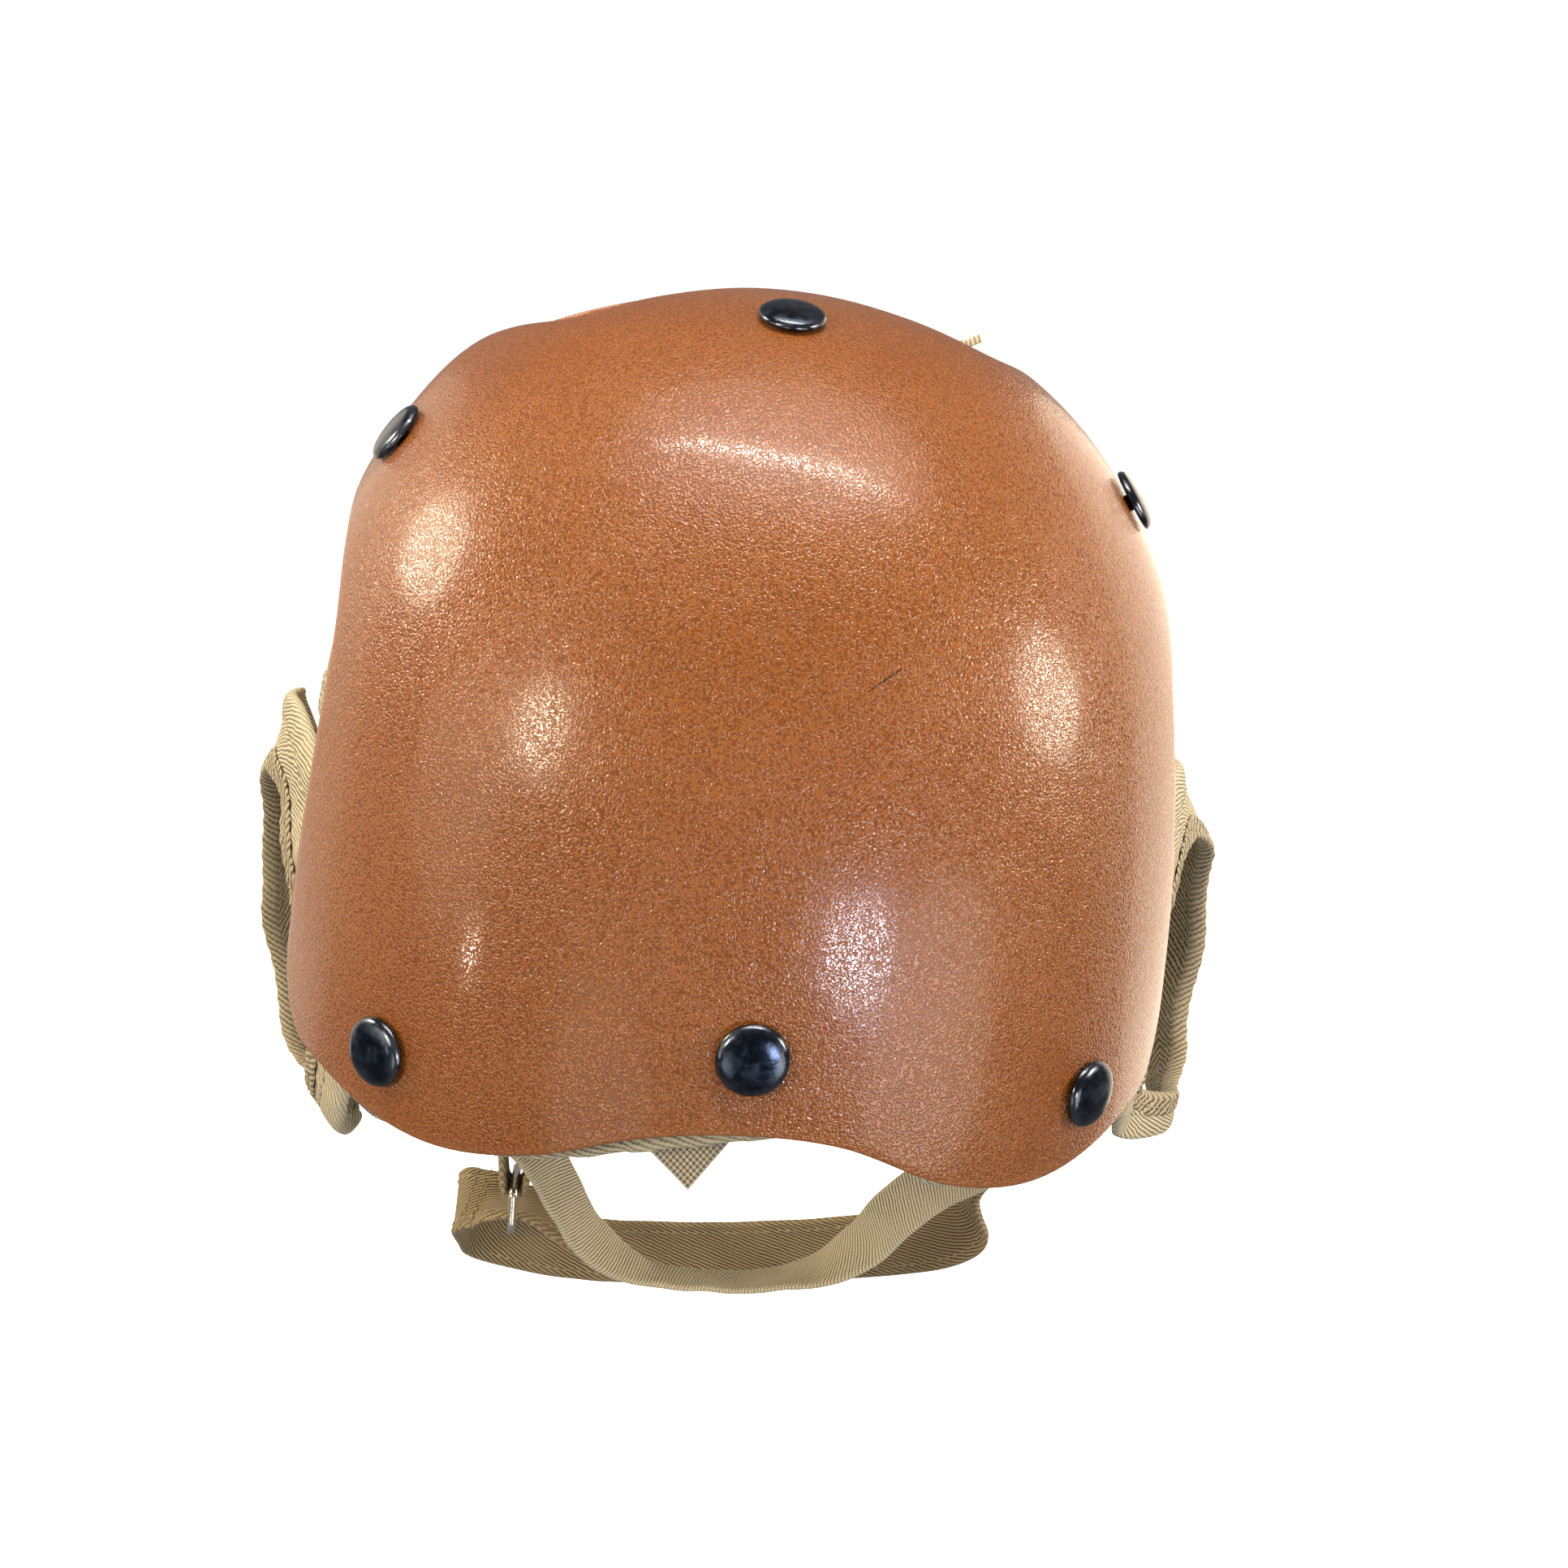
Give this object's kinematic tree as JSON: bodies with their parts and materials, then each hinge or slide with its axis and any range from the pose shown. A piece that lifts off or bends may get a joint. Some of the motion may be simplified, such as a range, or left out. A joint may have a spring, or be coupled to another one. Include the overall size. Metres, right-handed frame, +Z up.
{
  "type": "flight deck helmet",
  "caption": "Flight deck helmet with moulded plastic shells on a cloth cap, twill ear panels, a chin strap, an inner chin band and a strap ring.",
  "frame": {"origin": "inside of the crown, where the top of a head meets the cap", "axes": "+Z up, the face opening looks along -Y, +X is the wearer's left"},
  "size_m": [0.2476, 0.2332, 0.2819],
  "materials": {
    "shell_plastic": "rust brown, haircell grain, soft gloss",
    "cap_twill": "khaki cotton twill",
    "panel_twill": "khaki cotton twill with sewn edges",
    "herringbone_tape": "khaki herringbone tape",
    "strap_twill": "khaki cotton twill strap with hems",
    "webbing": "basket weave webbing",
    "snap_metal": "blackened, worn",
    "nickel": "worn nickel"
  },
  "bodies": {
    "root": {"back_shell": "shell_plastic", "front_shell": "shell_plastic", "cap_crown_back": "cap_twill", "cap_crown_front": "cap_twill", "cap_back": "cap_twill", "cap_side_left": "cap_twill", "cap_side_right": "cap_twill", "cap_brow": "cap_twill", "ear_panel_left": "panel_twill", "ear_panel_right": "panel_twill", "ear_tape_left": "herringbone_tape", "ear_tape_right": "herringbone_tape", "chin_strap": "strap_twill", "chin_band": "strap_twill", "ring_tape": "strap_twill", "strap_ring": "nickel", "nape_tab": "webbing", "crown_tab": "webbing", "snap_back_top": "snap_metal", "snap_back_bottom": "snap_metal", "snap_back_upper_left": "snap_metal", "snap_back_upper_right": "snap_metal", "snap_back_lower_left": "snap_metal", "snap_back_lower_right": "snap_metal", "snap_front_top": "snap_metal", "snap_front_brow": "snap_metal", "snap_front_upper_left": "snap_metal", "snap_front_upper_right": "snap_metal", "snap_front_lower_left": "snap_metal", "snap_front_lower_right": "snap_metal"}
  },
  "joints": []
}
